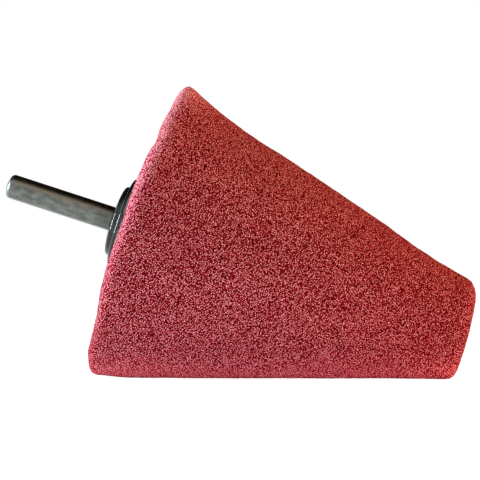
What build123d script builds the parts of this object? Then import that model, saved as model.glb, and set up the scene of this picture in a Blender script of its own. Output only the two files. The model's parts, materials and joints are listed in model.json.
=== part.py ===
"""Foam polishing cone on a steel drill shank, lying on its side.

Millimetres, +Z up. The foam's side lies along +X on the floor, the shank points back and up,
and Y = 0 is the plane of symmetry. The origin is on the floor, under the middle of the object.

Each piece is drawn about the shank's axis: Z runs from the foam's wide face (Z = 0) to its
narrow end, X is the upper side, and what stands out of the foam has a negative Z.
"""

import os
from math import atan2, cos, degrees, radians, sin, sqrt, tan

from build123d import *

# Foam cone, measured about its own axis
wide_diameter = 78.4
tip_diameter = 24.3
foam_length = 88.6
wide_edge_radius = 3.0
tip_edge_radius = 4.5
floor_flat_depth = 0.4  # how far the foam's own weight presses its side flat
foam_lean = 0.97  # degrees between the foam's axis and the shank's
foam_off_centre = 1.4  # how far under the shank's axis the foam's axis meets the wide face
glue_gap = 0.15  # glue between the foam and the hub's stem

# Steel shank
shank_diameter = 6.35
shank_reach = 28.65  # from the hub's face to the rounded end
shank_depth = 38.0  # how deep its other end sits behind the foam's wide face
crown_height = 1.65  # all of the rounded end
crown_edge_height = 1.15  # its outer, tighter curve
crown_edge_inset = 1.2
shoulder_step = 0.3  # less radius inside the hub, so that a shoulder takes the drill's push
shoulder_inset = 0.1  # from the hub's face to the shoulder
buried_chamfer = 0.5
spline_count = 12
spline_depth = 0.4
spline_length = 14.0
neck_depth = 0.5  # the groove that the hub grips against pulling
neck_length = 3.0

# Backing washer
washer_diameter = 29.8
washer_height = 4.2  # at its raised middle, which carries the hub's boss
washer_middle_diameter = 23.6
washer_middle_edge_radius = 0.75
washer_step = 0.85  # from the raised middle down to the front around it
washer_slope = 0.2  # fall of that front away from the hub, for each millimetre of radius
washer_shoulder = 1.0  # from the raised middle to where the front curves down
washer_side_height = 0.85
washer_edge_radius = 0.35
washer_clearance = 0.2  # around the hub's stem

# Hub
boss_diameter = 18.5
boss_dome_radius = 34.0
boss_rim_height = 1.37
boss_edge_radius = 0.9
stem_root_wall = 2.8  # around the shank
stem_end_wall = 2.0
stem_end_cover = 7.0  # past the shank's buried end
stem_nose_height = 2.5
stem_nose_inset = 1.6
barb_count = 6
barb_height = 2.8
barb_length = 4.0
wing_count = 4
wing_height = 2.3
wing_thickness = 1.6

# Sizes that follow from those above
half_angle = degrees(atan2((wide_diameter - tip_diameter) / 2, foam_length))
shank_dip = half_angle + foam_lean
shank_radius = shank_diameter / 2
boss_radius = boss_diameter / 2
washer_radius = washer_diameter / 2
stem_root_radius = shank_radius + stem_root_wall
stem_end_radius = shank_radius + stem_end_wall
stem_length = shank_depth + stem_end_cover


def dome_drop(radius):
    """How far the hub's dome has fallen away from its top at a radius."""
    return boss_dome_radius - sqrt(boss_dome_radius**2 - radius**2)


dome_top = -washer_height - boss_rim_height - dome_drop(boss_radius)
hub_face = dome_top + dome_drop(shank_radius)
shank_end = hub_face - shank_reach


def turned(outline):
    """The solid that a closed outline in X and Z sweeps round the shank's axis."""
    return revolve(make_face(outline), Axis.Z)


def steel_shank():
    """Straight shank, rounded where it enters a chuck, shouldered and splined in the hub."""
    edge_radius = shank_radius - crown_edge_inset
    edge_z = shank_end + crown_height - crown_edge_height
    side_z = shank_end + crown_height
    shoulder_z = hub_face + shoulder_inset
    buried_radius = shank_radius - shoulder_step
    with BuildLine(Plane.XZ) as section:
        crown = TangentArc((0, shank_end), (edge_radius, edge_z), tangent=(1, 0))
        edge = TangentArc((shank_radius, side_z), (edge_radius, edge_z), tangent=(0, -1))
        Polyline(
            edge @ 0,
            (shank_radius, shoulder_z),
            (buried_radius, shoulder_z),
            (buried_radius, shank_depth - buried_chamfer),
            (buried_radius - buried_chamfer, shank_depth),
            (0, shank_depth),
            crown @ 0,
        )
    shank = turned(section.line)
    spline_start = shank_depth - spline_length
    groove = Rot(0, 0, 45) * Box(spline_depth * sqrt(2), spline_depth * sqrt(2), spline_length)
    groove = Pos(buried_radius, 0, spline_start + spline_length / 2) * groove
    neck_middle = spline_start - neck_length / 2
    neck = Cylinder(shank_radius, neck_length) - Cylinder(buried_radius - neck_depth, neck_length)
    grooves = [Rot(0, 0, 360 / spline_count * i) * groove for i in range(spline_count)]
    return shank - grooves - Pos(0, 0, neck_middle) * neck


def backing_washer():
    """Moulded washer, flat at its back, raised under the boss, its front curving down to its side."""
    hole = stem_root_radius + washer_clearance
    middle = washer_middle_diameter / 2
    step_z = washer_step - washer_height
    shoulder_z = step_z + washer_slope * washer_shoulder
    with BuildLine(Plane.XZ) as section:
        front = Line((middle, step_z), (middle + washer_shoulder, shoulder_z))
        curve = TangentArc(front @ 1, (washer_radius, -washer_side_height), tangent=front % 1)
        Polyline(
            curve @ 1,
            (washer_radius, 0),
            (hole, 0),
            (hole, -washer_height),
            (middle, -washer_height),
            front @ 0,
        )
    washer = turned(section.line)
    rings = washer.edges().filter_by(GeomType.CIRCLE)
    washer = fillet(rings.sort_by(SortBy.RADIUS)[-2:], washer_edge_radius)
    raised = washer.faces().filter_by(GeomType.PLANE).sort_by(Axis.Z)[0]
    return fillet(raised.edges().sort_by(SortBy.RADIUS)[-1], washer_middle_edge_radius)


def ribbed_stem(gap):
    """The hub's stem with its barbs and wings, grown by a gap to give the space in the foam."""
    length = stem_length + gap
    end_radius = stem_end_radius + gap
    body_length = length - stem_nose_height
    stem = turned(
        Polyline(
            (0, 0, 0),
            (stem_root_radius + gap, 0, 0),
            (end_radius, 0, body_length),
            (end_radius - stem_nose_inset, 0, length),
            (0, 0, length),
            close=True,
        )
    )
    barb_pitch = (stem_length - stem_nose_height) / barb_count
    barb = Cone(
        stem_end_radius + barb_height + 2 * gap,
        end_radius,
        barb_length + 2 * gap,
        align=(Align.CENTER, Align.CENTER, Align.MIN),
    )
    first_barb = barb_pitch - barb_length
    barbs = [Pos(0, 0, first_barb - gap + barb_pitch * i) * barb for i in range(barb_count)]
    wing = Box(
        end_radius + wing_height,
        wing_thickness + 2 * gap,
        body_length,
        align=(Align.MIN, Align.CENTER, Align.MIN),
    )
    wings = [Rot(0, 0, 360 / wing_count * i) * wing for i in range(wing_count)]
    return stem + barbs + wings


def ribbed_hub(shank):
    """Hub moulded round the shank: domed boss outside, barbed and winged stem in the foam."""
    rim_z = dome_top + dome_drop(boss_radius)
    with BuildLine(Plane.XZ) as section:
        dome = TangentArc((0, dome_top), (boss_radius, rim_z), tangent=(1, 0))
        Polyline(
            dome @ 1,
            (boss_radius, -washer_height),
            (stem_root_radius, -washer_height),
            (stem_root_radius, 0),
            (0, 0),
            dome @ 0,
        )
    boss = turned(section.line)
    rim = boss.faces().sort_by(Axis.Z)[0].edges().sort_by(Axis.Z)[-1]
    return fillet(rim, boss_edge_radius) + ribbed_stem(0) - shank


def foam_cone():
    """Cone of foam, its wide face cut square to the shank, still round underneath."""
    spare = wide_diameter / 2 * tan(radians(abs(foam_lean))) + foam_off_centre
    spare_radius = wide_diameter / 2 + spare * tan(radians(half_angle))
    cone = turned(
        Polyline(
            (0, 0, -spare),
            (spare_radius, 0, -spare),
            (tip_diameter / 2, 0, foam_length),
            (0, 0, foam_length),
            close=True,
        )
    )
    cone = Pos(-foam_off_centre, 0, 0) * Rot(0, foam_lean, 0) * cone
    cone = split(cone, bisect_by=Plane.XY, keep=Keep.TOP)
    wide_face = cone.faces().filter_by(GeomType.PLANE).sort_by(Axis.Z)[0]
    cone = fillet(wide_face.edges(), wide_edge_radius)
    tip_face = cone.faces().filter_by(GeomType.PLANE).sort_by(Axis.Z)[-1]
    cone = fillet(tip_face.edges(), tip_edge_radius)
    return cone - ribbed_stem(glue_gap)


# Where the shank's axis meets the foam's wide face, so that the foam's side lies on the floor
wide_centre_z = wide_diameter / 2 * cos(radians(half_angle)) - floor_flat_depth
wide_centre_z += foam_off_centre * cos(radians(shank_dip))
lying = Plane(
    origin=(0, 0, wide_centre_z),
    x_dir=(sin(radians(shank_dip)), 0, cos(radians(shank_dip))),
    z_dir=(cos(radians(shank_dip)), 0, -sin(radians(shank_dip))),
).location

shank = steel_shank()
pieces = {
    "steel_shank": shank,
    "ribbed_hub": ribbed_hub(shank),
    "backing_washer": backing_washer(),
    "foam_cone": foam_cone(),
}
pieces = {name: lying * piece for name, piece in pieces.items()}
pieces["foam_cone"] = split(pieces["foam_cone"], bisect_by=Plane.XY, keep=Keep.TOP)

middle_x = Compound(list(pieces.values())).bounding_box().center().X
os.makedirs("parts", exist_ok=True)
for name, piece in pieces.items():
    export_step(Pos(-middle_x, 0, 0) * piece, f"parts/{name}.step")

straight_start = shank_end + crown_height
straight_end = hub_face + shoulder_inset
straight_middle = Pos(-middle_x, 0, 0) * lying * Pos(0, 0, (straight_start + straight_end) / 2)
print("middle of the shank's straight wall:", straight_middle.position)
print("its length:", round(straight_end - straight_start, 4), "dip in degrees:", round(shank_dip, 4))
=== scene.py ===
"""Looks of a foam polishing cone on a steel drill shank, lying on its side.

Metres, in the frame of the solids: +Z up, the foam's lower side along +X on the floor, the
shank pointing back and up, and Y = 0 the plane of symmetry.
"""

import json
from math import atan, atan2, cos, degrees, exp, pi, radians, sin, tan

import bmesh
import bpy
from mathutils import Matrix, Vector


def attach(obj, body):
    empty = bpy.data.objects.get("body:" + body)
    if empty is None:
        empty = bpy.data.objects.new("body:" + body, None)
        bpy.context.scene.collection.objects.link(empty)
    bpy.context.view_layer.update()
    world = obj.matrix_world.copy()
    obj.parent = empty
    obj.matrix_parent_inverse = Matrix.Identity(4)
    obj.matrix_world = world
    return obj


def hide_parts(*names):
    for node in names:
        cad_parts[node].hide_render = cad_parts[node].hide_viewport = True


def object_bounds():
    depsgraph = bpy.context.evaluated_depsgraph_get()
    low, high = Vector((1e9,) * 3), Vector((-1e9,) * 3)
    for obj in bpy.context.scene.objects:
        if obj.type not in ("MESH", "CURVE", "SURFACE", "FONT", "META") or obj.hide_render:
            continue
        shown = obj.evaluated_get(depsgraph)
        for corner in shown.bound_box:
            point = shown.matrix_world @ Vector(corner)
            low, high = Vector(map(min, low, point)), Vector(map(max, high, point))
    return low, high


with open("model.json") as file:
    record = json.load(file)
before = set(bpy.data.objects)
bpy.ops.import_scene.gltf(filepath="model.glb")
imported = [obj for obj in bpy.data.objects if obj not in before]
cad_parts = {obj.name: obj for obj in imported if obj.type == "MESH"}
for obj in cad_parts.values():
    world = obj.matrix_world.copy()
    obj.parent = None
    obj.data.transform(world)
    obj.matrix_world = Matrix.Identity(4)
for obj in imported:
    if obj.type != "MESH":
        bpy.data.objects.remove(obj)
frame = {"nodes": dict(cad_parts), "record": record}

cad_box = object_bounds()

MM = 0.001

# The foam cone's own sizes, as in its solid
WIDE_RADIUS = 39.2 * MM
TIP_RADIUS = 12.15 * MM
FOAM_LENGTH = 88.6 * MM
WIDE_EDGE_RADIUS = 3.0 * MM
TIP_EDGE_RADIUS = 4.5 * MM
FOAM_OFF_CENTRE = 1.4 * MM  # how far under the shank's axis the foam's axis meets the wide face
SHANK_TO_FOAM = 20.154 * MM  # from the middle of the shank's straight wall to the wide face

# The room in the foam for the hub's stem, and the washer that lies on the wide face
SOCKET_RADIUS = 8.6 * MM
SOCKET_DEPTH = 45.6 * MM
WASHER_RADIUS = 14.9 * MM
WASHER_DENT = 0.35 * MM  # how far the washer presses into the foam
DENT_MARGIN = 1.0 * MM  # how far the dent reaches round the washer, and below the skin

# Directions and places that follow from the frame
shank_mount = next(m for m in frame["record"]["mounts"] if m["name"] == "shank")
SHANK_MIDDLE = Vector(shank_mount["pos_m"])
INTO_FOAM = -Vector(shank_mount["axis"]).normalized()
SHANK_UP = Vector((-INTO_FOAM.z, 0, INTO_FOAM.x))
SHANK_DIP = atan(-INTO_FOAM.z / INTO_FOAM.x)
HALF_ANGLE = atan((WIDE_RADIUS - TIP_RADIUS) / FOAM_LENGTH)
ALONG = Vector((cos(HALF_ANGLE), 0, -sin(HALF_ANGLE)))  # the foam's own axis
ABOVE = Vector((sin(HALF_ANGLE), 0, cos(HALF_ANGLE)))
WIDE_FACE = SHANK_MIDDLE + INTO_FOAM * SHANK_TO_FOAM  # where the shank's axis meets it
FOAM_START = WIDE_FACE - SHANK_UP * FOAM_OFF_CENTRE


# The smallest helpers


def activate(piece):
    """Selects one object and nothing else."""
    bpy.ops.object.select_all(action="DESELECT")
    piece.select_set(True)
    bpy.context.view_layer.objects.active = piece


def new_piece(name):
    """Names the primitive that was just added and puts its place into its mesh."""
    piece = bpy.context.object
    piece.name = name
    piece.data.name = name
    bpy.ops.object.transform_apply(location=True, rotation=True, scale=True)
    return piece


def modify(piece, kind, **settings):
    """Adds a modifier to a piece and applies it."""
    activate(piece)
    modifier = piece.modifiers.new(kind.lower(), kind)
    for setting, value in settings.items():
        setattr(modifier, setting, value)
    bpy.ops.object.modifier_apply(modifier=modifier.name)


def pick_edges(piece, wanted):
    """Enters edit mode with only those edges selected that wanted says yes to."""
    activate(piece)
    bpy.ops.object.mode_set(mode="EDIT")
    bpy.ops.mesh.select_mode(type="EDGE")
    bpy.ops.mesh.select_all(action="DESELECT")
    mesh = bmesh.from_edit_mesh(piece.data)
    for edge in mesh.edges:
        if wanted(edge):
            edge.select_set(True)
    mesh.select_flush_mode()
    bmesh.update_edit_mesh(piece.data)


def leave_edit_mode():
    bpy.ops.object.mode_set(mode="OBJECT")


def give(piece, material):
    """Gives a piece one material in place of those it has."""
    piece.data.materials.clear()
    piece.data.materials.append(material)


# Shaders: an expression on values adds its Math nodes


class Value:
    """A node's output in a finish."""

    def __init__(self, finish, socket):
        self.finish = finish
        self.socket = socket

    def __add__(self, other):
        return self.finish.maths("ADD", self, other)

    def __radd__(self, other):
        return self.finish.maths("ADD", other, self)

    def __sub__(self, other):
        return self.finish.maths("SUBTRACT", self, other)

    def __rsub__(self, other):
        return self.finish.maths("SUBTRACT", other, self)

    def __mul__(self, other):
        return self.finish.maths("MULTIPLY", self, other)

    def __rmul__(self, other):
        return self.finish.maths("MULTIPLY", other, self)


class Finish:
    """The nodes of a material, or of the world, under construction."""

    def __init__(self, owner):
        owner.use_nodes = True
        self.owner = owner
        self.tree = owner.node_tree
        self.tree.nodes.clear()

    def node(self, kind, settings=None, inputs=None, output=0):
        """Adds a node. Its settings come first, then the values or links of its sockets."""
        made = self.tree.nodes.new(kind)
        for name, value in (settings or {}).items():
            if name == "stops":
                set_stops(made.color_ramp, value)
            else:
                setattr(made, name, value)
        for name, value in (inputs or {}).items():
            if isinstance(value, Value):
                self.tree.links.new(value.socket, made.inputs[name])
            else:
                made.inputs[name].default_value = value
        return Value(self, made.outputs[output]) if made.outputs else None

    def maths(self, operation, first, second):
        return self.node("ShaderNodeMath", {"operation": operation}, {0: first, 1: second})

    def offset(self, centre):
        """How a place on the piece lies from a centre, in metres."""
        spot = self.node("ShaderNodeTexCoord", output="Object")
        return self.node("ShaderNodeVectorMath", {"operation": "SUBTRACT"}, {0: spot, 1: centre})

    def place(self, centre=(0, 0, 0), turn=(0, 0, 0)):
        """Millimetres from a centre, turned by three angles."""
        inputs = {"Vector": self.offset(centre), "Rotation": turn, "Scale": (1 / MM,) * 3}
        return self.node("ShaderNodeMapping", {}, inputs)

    def along(self, centre, direction):
        """Millimetres from a centre along a direction."""
        inputs = {0: self.offset(centre), 1: tuple(c / MM for c in direction)}
        settings = {"operation": "DOT_PRODUCT"}
        return self.node("ShaderNodeVectorMath", settings, inputs, output="Value")

    def away(self, centre):
        """Millimetres from a centre, whichever way."""
        inputs = {0: self.place(centre)}
        return self.node("ShaderNodeVectorMath", {"operation": "LENGTH"}, inputs, output="Value")

    def stretched(self, place, factors):
        """A place with each of its three numbers multiplied."""
        inputs = {0: place, 1: factors}
        return self.node("ShaderNodeVectorMath", {"operation": "MULTIPLY"}, inputs)

    def noise(self, place, scale, detail):
        inputs = {"Vector": place, "Scale": scale, "Detail": detail}
        return self.node("ShaderNodeTexNoise", {}, inputs)

    def cells(self, place, scale, randomness):
        """0 in the middle of each cell, more towards its edges."""
        inputs = {"Vector": place, "Scale": scale, "Randomness": randomness}
        return self.node("ShaderNodeTexVoronoi", {}, inputs)

    def ramp(self, value, low, high):
        """0 at low, 1 at high, smooth between."""
        settings = {"interpolation_type": "SMOOTHSTEP"}
        inputs = {"Value": value, "From Min": low, "From Max": high}
        return self.node("ShaderNodeMapRange", settings, inputs)

    def tones(self, stops, level):
        """The colour that a ramp of stops has at a level."""
        return self.node("ShaderNodeValToRGB", {"stops": stops}, {"Fac": level})

    def mix(self, factor, first, second, blend="MIX"):
        """Mixes two colours."""
        settings = {"data_type": "RGBA", "blend_type": blend}
        return self.node("ShaderNodeMix", settings, {0: factor, 6: first, 7: second}, output=2)

    def tinted(self, factor, color, tint):
        """Multiplies a colour by a tint, as far as the factor says."""
        return self.mix(factor, color, self.mix(1, color, tint, "MULTIPLY"))

    def bump(self, height, strength, distance):
        inputs = {"Height": height, "Strength": strength, "Distance": distance}
        return self.node("ShaderNodeBump", {}, inputs)

    def surface(self, **inputs):
        """Ends the material in one Principled shader."""
        named = {name.replace("_", " "): value for name, value in inputs.items()}
        shader = self.node("ShaderNodeBsdfPrincipled", {}, named)
        self.node("ShaderNodeOutputMaterial", {}, {"Surface": shader})
        return self.owner


def new_finish(name):
    return Finish(bpy.data.materials.new(name))


def set_stops(color_ramp, stops):
    """Gives a colour ramp its stops, as pairs of place and colour."""
    while len(color_ramp.elements) < len(stops):
        color_ramp.elements.new(1)
    for element, (place, color) in zip(color_ramp.elements, stops):
        element.position = place
        element.color = color


def shade(red, green, blue):
    """A colour given as it looks on screen, from 0 to 255, as Blender keeps it."""

    def linear(level):
        level = level / 255
        return level / 12.92 if level <= 0.04045 else ((level + 0.055) / 1.055) ** 2.4

    return (linear(red), linear(green), linear(blue), 1)


# The foam cone: its cut shape

CONE_SIDES = 192
RIM_SEGMENTS = 8
RIM_TOLERANCE = 0.01 * MM  # how near to a flat end its rim's edges lie
SPARE_LENGTH = 6 * MM  # cut off again at the wide end
SOCKET_SIDES = 48


def round_rim(foam, end, outward, radius, between_sides):
    """Rounds the rim where a flat end and the cone's side meet at an angle."""

    def on_rim(edge):
        return all(abs((vert.co - end).dot(outward)) < RIM_TOLERANCE for vert in edge.verts)

    pick_edges(foam, on_rim)
    bpy.ops.mesh.bevel(offset=radius / tan(between_sides / 2), segments=RIM_SEGMENTS)
    leave_edit_mode()


def foam_blank():
    """A plain cone, cut square to the shank at its wide end, with both rims rounded."""
    length = FOAM_LENGTH + SPARE_LENGTH
    bpy.ops.mesh.primitive_cone_add(
        vertices=CONE_SIDES,
        radius1=WIDE_RADIUS + SPARE_LENGTH * tan(HALF_ANGLE),
        radius2=TIP_RADIUS,
        depth=length,
        location=FOAM_START + ALONG * (FOAM_LENGTH - length / 2),
        rotation=(0, pi / 2 + HALF_ANGLE, 0),
    )
    foam = new_piece("foam")
    pick_edges(foam, lambda edge: True)
    bpy.ops.mesh.bisect(
        plane_co=WIDE_FACE, plane_no=INTO_FOAM, use_fill=True, clear_inner=True
    )
    leave_edit_mode()
    tip = FOAM_START + ALONG * FOAM_LENGTH
    round_rim(foam, WIDE_FACE, INTO_FOAM, WIDE_EDGE_RADIUS, pi / 2 - HALF_ANGLE)
    round_rim(foam, tip, ALONG, TIP_EDGE_RADIUS, pi / 2 + HALF_ANGLE)
    return foam


def cut_socket(foam):
    """Hollows the foam where the hub's stem sits."""
    bpy.ops.mesh.primitive_cylinder_add(
        vertices=SOCKET_SIDES,
        radius=SOCKET_RADIUS,
        depth=2 * SOCKET_DEPTH,
        location=WIDE_FACE,
        rotation=INTO_FOAM.to_track_quat("Z", "Y").to_euler(),
    )
    cutter = new_piece("socket cutter")
    modify(foam, "BOOLEAN", operation="DIFFERENCE", object=cutter, solver="EXACT")
    bpy.data.objects.remove(cutter)


# The foam cone: its wear

# Swells and dents that hand cutting left in the foam's side: how far along the cone from its
# wide face, the angle round it from the top, the reach along and round, and the height.
# Millimetres and degrees.
SWELLS = (
    (1.5, 0, 2.5, 25, 1.0),
    (3.5, 0, 7.5, 45, 1.2),
    (21.0, 0, 8.0, 50, -0.1),
    (44.0, 0, 12.0, 50, 0.2),
    (69.0, 0, 6.0, 50, -0.25),
    (83.0, 0, 5.0, 60, 0.3),
    (87.3, 0, 2.6, 60, 0.45),
    (86.0, 180, 5.0, 40, 0.6),
    (0.0, 180, 7.0, 50, -1.0),
    (0.8, 180, 1.8, 35, 0.6),
)
SWELLS_START = 0.6  # share of the cone's radius inside which nothing swells

# Waves of the wide rim: the angle round it from the top, the reach round, and how far the rim
# stands out, away from the tip. Millimetres and degrees.
RIM_WAVES = (
    (22, 20, -0.5),
    (31, 8, -0.35),
    (49, 6, -0.9),
    (75, 20, 0.4),
    (102, 10, 0.8),
    (116, 7, 0.3),
    (128, 6, -0.1),
    (152, 8, 0.55),
    (162, 6, 0.3),
    (174, 9, 0.5),
)
RIM_REACH = 7.0 * MM  # how deep a wave of the rim goes into the foam
RIM_WAVES_START = 0.5  # share of the wide face's radius at which they start

TIP_SKEW = 0.05  # the tip is cut a little out of square
TIP_SKEW_START = 5 / 6  # share of the foam's length at which that starts


def bell(distance, reach):
    """1 in the middle, fading to nothing past the reach."""
    return exp(-((distance / reach) ** 2))


def rise(share, start):
    """0 up to the start, then straight up to 1 at the whole."""
    return min(max((share - start) / (1 - start), 0), 1)


def worked(place):
    """Where a place on the cut cone ends up after wear, and pressed on the floor."""
    from_start = place - FOAM_START
    along = from_start.dot(ALONG)
    across = from_start - ALONG * along
    angle = degrees(atan2(abs(across.y), across.dot(ABOVE)))
    outward = across.normalized()
    depth = (place - WIDE_FACE).dot(INTO_FOAM)
    off_shank = (place - WIDE_FACE - INTO_FOAM * depth).length
    moved = place.copy()
    if across.length > (WIDE_RADIUS - along * tan(HALF_ANGLE)) * SWELLS_START:
        for centre, round_at, reach, round_reach, height in SWELLS:
            near = bell(along / MM - centre, reach) * bell(angle - round_at, round_reach)
            moved += outward * (height * near * MM)
    toward_rim = rise(off_shank / WIDE_RADIUS, RIM_WAVES_START) * bell(depth, RIM_REACH)
    for round_at, round_reach, height in RIM_WAVES:
        moved -= INTO_FOAM * (height * bell(angle - round_at, round_reach) * toward_rim * MM)
    toward_tip = rise(along / FOAM_LENGTH, TIP_SKEW_START)
    moved -= ALONG * (TIP_SKEW * across.dot(ABOVE) * toward_tip)
    if depth < DENT_MARGIN and off_shank < WASHER_RADIUS + DENT_MARGIN:
        moved += INTO_FOAM * WASHER_DENT
    moved.z = max(moved.z, 0)
    return moved


# The foam cone: its skin

SKIN_GRID = 0.57 * MM  # side of a quad
SMOOTHING_ROUNDS = 4
CUT_WAVE_SIZE = 9 * MM
CUT_WAVE_HEIGHT = 0.5 * MM
OPEN_GRAIN_SIZE = 0.9 * MM
OPEN_GRAIN_HEIGHT = 0.14 * MM


def displace(piece, name, size, height, finer_layers):
    """Pushes a piece's skin in and out by soft noise of a given size, with finer noise on it."""
    texture = bpy.data.textures.new(name, "CLOUDS")
    texture.noise_scale = size
    texture.noise_depth = finer_layers
    modify(
        piece,
        "DISPLACE",
        texture=texture,
        texture_coords="LOCAL",
        strength=height,
        mid_level=0.5,
    )


def foam_piece():
    """The foam as one closed skin of even quads, with its waviness and its open grain."""
    foam = foam_blank()
    cut_socket(foam)
    modify(foam, "REMESH", mode="VOXEL", voxel_size=SKIN_GRID, use_smooth_shade=True)
    modify(foam, "SMOOTH", factor=0.5, iterations=SMOOTHING_ROUNDS)
    displace(foam, "hand-cut waves", CUT_WAVE_SIZE, CUT_WAVE_HEIGHT, 2)
    displace(foam, "open grain", OPEN_GRAIN_SIZE, OPEN_GRAIN_HEIGHT, 0)
    for vertex in foam.data.vertices:
        vertex.co = worked(vertex.co)
    give(foam, foam_finish())
    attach(foam, "root")
    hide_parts("foam_cone")


# The foam cone: its finish

# Colours by level, from the bottom of a pore to the light middle of a cell
CRIMSON = (
    (0.0, shade(62, 3, 8)),
    (0.3, shade(104, 12, 20)),
    (0.6, shade(146, 27, 36)),
    (0.8, shade(200, 82, 93)),
    (1.0, shade(255, 186, 189)),
)
# Paler pink painted at the wide rim, standing in for the light and sheen that the left lamp puts
# on it
RIM_LIGHT_PINK = (
    (0.2, shade(146, 22, 44)),
    (0.6, shade(212, 74, 102)),
    (1.0, shade(255, 188, 206)),
)
RIM_LIGHT_SHARE = 0.7
WARM_LIGHT_TINT = (1.1, 0.88, 0.66, 1)  # painted warm light on the crimson, towards the top and the tip
FLOOR_BOUNCE_TINT = (1.25, 1.0, 1.08, 1)  # painted bounce light from the floor, on the crimson near it
FOAM_RELIEF = 0.3 * MM

# How many of each there are in a millimetre
CELL_SCALE = 2.8
SPECK_SCALE = 1.3
GRAIN_SCALE = 9
PATCH_SCALE = 0.15
CELL_RANDOMNESS = 0.8
GRAIN_TURN = (0.6, 0.5, 0.3)  # keeps their rows off the main directions

# The level, and how much each thing adds to it
CELL_MIDDLE_LEVEL = 1.215
PORE = -1.72
GRAIN = 0.2
PATCH = 0.1
SPECK = 0.5
# Painted bounce light from the floor
FLOOR_BOUNCE_LEVEL = 0.08
# Painted rim light and sheen, paler towards the top of the wide rim
RIM_LIGHT_LEVEL = 0.3
# Painted light, paler at the top edge of the wide end
TOP_EDGE_LIGHT = 0.12
CALM_LEVEL = 0.67  # towards the tip, levels draw nearer to this one
CALMING = 0.17


def foam_finish():
    """Crimson open-cell foam, each cell light in its middle. Painted on it: a paler pink rim at
    the wide end for the light and sheen there, a paler top edge for light, warm light towards the
    top and the tip, and bounce light near the floor.
    """
    make = new_finish("open-cell foam")
    place = make.place(turn=GRAIN_TURN)
    pore = make.cells(place, CELL_SCALE, CELL_RANDOMNESS)
    speck = 1 - make.ramp(make.cells(place, SPECK_SCALE, 1), 0.08, 0.2)
    grain = make.noise(place, GRAIN_SCALE, 1)
    patches = make.noise(place, PATCH_SCALE, 2)

    height = make.along((0, 0, 0), (0, 0, 1))
    # Painted bounce light from the floor on the lower side
    painted_floor_bounce = (1 - make.ramp(height, 0, 9)) * make.ramp(height, -0.3, 1.5)
    # How far up the painted rim light reaches
    upper = make.ramp(height, 15, 65)
    # Painted light on the top edge
    painted_top_light = make.ramp(height, 65, 71)
    # Painted warm light, as from above and the right
    painted_warm_light = make.ramp(make.along(WIDE_FACE, (0.6, 0, 0.8)), -10, 45)
    toward_tip = make.ramp(make.along(FOAM_START, ALONG), 25, 80)
    depth = make.along(WIDE_FACE, INTO_FOAM)
    # Where the painted rim light and sheen lie: near the wide face, reaching deeper towards the
    # top, and out at the rim
    rim = 1 - make.ramp(depth + 2 - 2.6 * upper, -0.5, 5)
    rim = rim * make.ramp(make.away(WIDE_FACE), 34.2, 37.6)

    level = CELL_MIDDLE_LEVEL + PORE * pore + GRAIN * grain + PATCH * patches + SPECK * speck
    level = CALM_LEVEL + (level - CALM_LEVEL) * (1 - CALMING * toward_tip)
    # Painted light added to the level: bounce near the floor, rim light and sheen on the upper
    # wide rim, light on the top edge
    level = level + FLOOR_BOUNCE_LEVEL * painted_floor_bounce + RIM_LIGHT_LEVEL * rim * upper + TOP_EDGE_LIGHT * painted_top_light
    body = make.tinted(painted_warm_light, make.tones(CRIMSON, level), WARM_LIGHT_TINT)
    body = make.tinted(painted_floor_bounce, body, FLOOR_BOUNCE_TINT)
    # The pink painted at the wide rim stands in for its light and sheen
    color = make.mix(RIM_LIGHT_SHARE * rim, body, make.tones(RIM_LIGHT_PINK, level))
    return make.surface(
        Base_Color=color,
        Roughness=0.95,
        Normal=make.bump(level, 0.5, FOAM_RELIEF),
        Specular_IOR_Level=0,
    )


# The steel shank, the hub and the washer keep their solids and get their finishes

DARK_STEEL = shade(84, 90, 86)
BRIGHT_STEEL = shade(114, 119, 115)
# Painted warm reflection on the shank's upper side
WARM_REFLECTION_STEEL = shade(126, 114, 96)
# Painted shade on the shank next to the hub, where the dark hub is mirrored
SHADED_STEEL = shade(52, 56, 54)
# Paler colour painted on the shank's rounded end as a highlight
CROWN_HIGHLIGHT_STEEL = shade(116, 128, 128)
BLACK = shade(8, 15, 16)
HUB_BLACK = shade(16, 24, 25)
WASHER_BLACK = shade(18, 26, 27)
FINE_RELIEF = 0.02 * MM

# How many of each there are in a millimetre, along the shank and across it
LINES = (0.04, 6, 6)
BLOTCHES = (0.4, 0.9, 0.9)


def shank_finish():
    """Satin drawn steel, faintly mottled, with fine lines along it. Painted on it: a warm
    reflection along its upper side, shade next to the hub, and a paler highlight on its rounded,
    rougher end.
    """
    make = new_finish("satin steel")
    on_shank = make.place(SHANK_MIDDLE, (0, -SHANK_DIP, 0))
    lines = make.noise(make.stretched(on_shank, LINES), 1, 2)
    blotches = make.noise(make.stretched(on_shank, BLOTCHES), 1, 4)
    shine = make.ramp(blotches, 0.35, 0.7)
    height = make.along(SHANK_MIDDLE, SHANK_UP)
    # Painted warm reflection along the shank's upper side, with a mottled edge
    painted_warm_light = make.ramp(height + 3 * (blotches - 0.5), 0, 2)
    along = make.along(SHANK_MIDDLE, INTO_FOAM)
    # Painted shade next to the hub
    painted_hub_shade = 0.5 * make.ramp(along, 7, 14)
    crown = make.ramp(-1 * along, 13.4, 13.9)
    color = make.mix(painted_warm_light, make.mix(shine, DARK_STEEL, BRIGHT_STEEL), WARM_REFLECTION_STEEL)
    color = make.mix(painted_hub_shade, color, SHADED_STEEL)
    # Painted highlight on the rounded end, which is also rougher
    color = make.mix(crown, color, CROWN_HIGHLIGHT_STEEL)
    return make.surface(
        Base_Color=color,
        Metallic=1.0,
        Roughness=0.18 + 0.08 * lines + 0.1 * shine + 0.12 * crown,
        Normal=make.bump(lines, 0.2, FINE_RELIEF),
        Coat_Weight=0.5,
        Coat_Roughness=0.12,
    )


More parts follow.
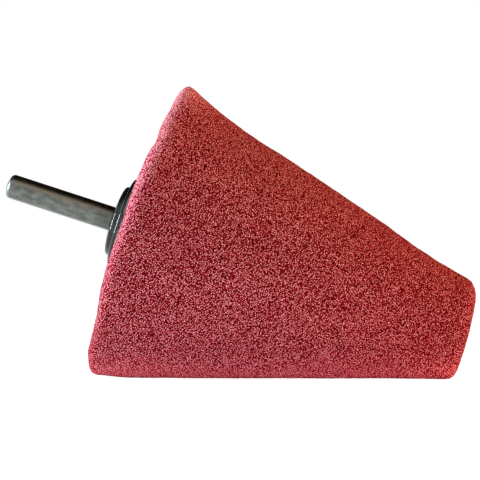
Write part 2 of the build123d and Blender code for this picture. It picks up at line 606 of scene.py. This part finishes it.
def black_moulding(name, peel_scale, paler, dulling, peel_bump):
    """Glossy black plastic with a little orange peel."""
    make = new_finish(name)
    peel = make.noise(make.place(), peel_scale, 3)
    return make.surface(
        Base_Color=make.mix(peel, BLACK, paler),
        Roughness=0.07 + dulling * peel,
        Normal=make.bump(peel, peel_bump, FINE_RELIEF),
    )


# The stage: white floor and surroundings, one dark scrim and soft lamps

WHITE = (1, 1, 1, 1)
FLOOR_SIDE = 8
FLOOR_COLOR = (0.88, 0.9, 0.95, 1)
GLOW_COLOR = (0.9, 0.95, 1, 1)
FLOOR_GLOW = 0.57  # light that the floor gives to the object's lower side
SHADOWED_GREY = (0.5, 0.5, 0.5, 1)  # the part of the seen floor that shadows can darken
SHOWN_GLOW = 0.93  # the part that they can't
SKY_STRENGTH = 0.22
SKY_LOW = (0.93, 0.97, 1.1, 1)
SKY_HIGH = (1.04, 1.0, 0.84, 1)
SCRIM_SIZE = (3.0, 3.3, 1)
SCRIM_PLACE = (0.3, 0.55, 0.94)
SCRIM_TILT = radians(-12)
SCRIM_BLACK = (0.01, 0.01, 0.01, 1)
SCRIM_CLEAR_END = -1050  # millimetres along Y, from where it thickens until Y is 0

# Each lamp's name, place, width and height, watts and colour, and whether gloss mirrors it
LAMPS = (
    ("soft box left", (-0.9, -0.15, 0.15), (0.09, 0.75), 16.5, (0.84, 0.95, 1.0), True),
    ("soft box front", (0.9, -1.3, 0.12), (1.6, 0.3), 9.2, (1.0, 0.93, 0.9), False),
    ("soft box side", (-1.1, -0.35, 0.4), (0.6, 0.5), 2.4, (0.95, 0.93, 1.0), False),
    ("soft box right", (0.8, 0.35, 0.5), (0.35, 0.35), 5.2, (1.0, 0.6, 0.4), True),
    ("soft box tip", (0.9, 0.15, 0.1), (0.3, 0.2), 2.3, (1.0, 0.58, 0.38), False),
)


def sees_background(make):
    """1 for rays that show the background, also in metal and glass, 0 for rays that light."""
    path = make.node("ShaderNodeLightPath").socket.node
    camera, glossy, through = (
        Value(make, path.outputs[ray])
        for ray in ("Is Camera Ray", "Is Glossy Ray", "Is Transmission Ray")
    )
    return make.maths("MAXIMUM", make.maths("MAXIMUM", camera, glossy), through)


def floor():
    """White floor that is seen white, with a faint shadow, and lights the object from below."""
    bpy.ops.mesh.primitive_plane_add(size=FLOOR_SIDE)
    ground = new_piece("floor")
    make = new_finish("white floor")
    sheet = make.node("ShaderNodeBsdfDiffuse", {}, {"Color": FLOOR_COLOR})
    glow = make.node("ShaderNodeEmission", {}, {"Color": GLOW_COLOR, "Strength": FLOOR_GLOW})
    lit = make.node("ShaderNodeAddShader", {}, {0: sheet, 1: glow})
    shadowed = make.node("ShaderNodeBsdfDiffuse", {}, {"Color": SHADOWED_GREY})
    shown = make.node("ShaderNodeEmission", {}, {"Color": WHITE, "Strength": SHOWN_GLOW})
    seen = make.node("ShaderNodeAddShader", {}, {0: shadowed, 1: shown})
    shader = make.node("ShaderNodeMixShader", {}, {0: sees_background(make), 1: lit, 2: seen})
    make.node("ShaderNodeOutputMaterial", {}, {"Surface": shader})
    give(ground, make.owner)


def surroundings():
    """A world that is seen plain white and lights the object softly, warmer from above."""
    world = bpy.data.worlds.new("white studio")
    bpy.context.scene.world = world
    make = Finish(world)
    direction = make.node("ShaderNodeTexCoord", output="Generated")
    height = make.node("ShaderNodeSeparateXYZ", {}, {0: direction}, output="Z")
    sky = make.mix(make.ramp(height, -0.2, 0.9), SKY_LOW, SKY_HIGH)
    light = make.node("ShaderNodeBackground", {}, {"Color": sky, "Strength": SKY_STRENGTH})
    white = make.node("ShaderNodeBackground", {}, {"Color": WHITE, "Strength": 1.0})
    shader = make.node("ShaderNodeMixShader", {}, {0: sees_background(make), 1: light, 2: white})
    make.node("ShaderNodeOutputWorld", {}, {"Surface": shader})


def dark_scrim():
    """A dark scrim above the picture, thin at its front, that only metal and gloss reflect."""
    bpy.ops.mesh.primitive_plane_add(size=1, location=SCRIM_PLACE, rotation=(SCRIM_TILT, 0, 0))
    bpy.context.object.scale = SCRIM_SIZE
    scrim = new_piece("card above")
    make = new_finish("card above")
    black = make.node("ShaderNodeBsdfDiffuse", {}, {"Color": SCRIM_BLACK})
    clear = make.node("ShaderNodeBsdfTransparent")
    spot = make.node("ShaderNodeSeparateXYZ", {}, {0: make.place()}, output="Y")
    thick = make.ramp(spot, SCRIM_CLEAR_END, 0)
    shader = make.node("ShaderNodeMixShader", {}, {0: thick, 1: clear, 2: black})
    make.node("ShaderNodeOutputMaterial", {}, {"Surface": shader})
    give(scrim, make.owner)
    scrim.visible_camera = False
    scrim.visible_diffuse = False
    scrim.visible_shadow = False


def lamp(name, place, size, watts, color, mirrored):
    """A soft box that points at the middle of the object."""
    data = bpy.data.lights.new(name, "AREA")
    data.shape = "RECTANGLE"
    data.size, data.size_y = size
    data.energy = watts
    data.color = color
    light = bpy.data.objects.new(name, data)
    bpy.context.scene.collection.objects.link(light)
    middle = (cad_box[0] + cad_box[1]) / 2
    light.location = place
    light.rotation_euler = (middle - Vector(place)).to_track_quat("-Z", "Y").to_euler()
    light.visible_glossy = mirrored


# The picture's own view: level, almost square to the shank, a little under half a metre off

VIEW_ANGLE = radians(15.296)
VIEW_DISTANCE = 459 * MM
VIEW_AIM = Vector((-0.03 * MM, 0, 35.14 * MM))
VIEW_TURN = radians(2.56)
VIEW_ROLL = radians(-0.07)


def camera():
    data = bpy.data.cameras.new("camera")
    data.sensor_fit = "HORIZONTAL"
    data.angle = VIEW_ANGLE
    view = bpy.data.objects.new("camera", data)
    bpy.context.scene.collection.objects.link(view)
    backward = Vector((sin(VIEW_TURN), -cos(VIEW_TURN), 0))
    view.location = VIEW_AIM + backward * VIEW_DISTANCE
    view.rotation_euler = (pi / 2, VIEW_ROLL, VIEW_TURN)
    bpy.context.scene.camera = view


foam_piece()
finishes = {
    "steel_shank": shank_finish(),
    "ribbed_hub": black_moulding("gloss black hub", 0.8, HUB_BLACK, 0.04, 0.03),
    "backing_washer": black_moulding("satin black washer", 1.2, WASHER_BLACK, 0.08, 0.05),
}
for node, finish in finishes.items():
    give(frame["nodes"][node], finish)
floor()
surroundings()
dark_scrim()
for settings in LAMPS:
    lamp(*settings)
camera()
bpy.context.scene.view_settings.view_transform = "Standard"
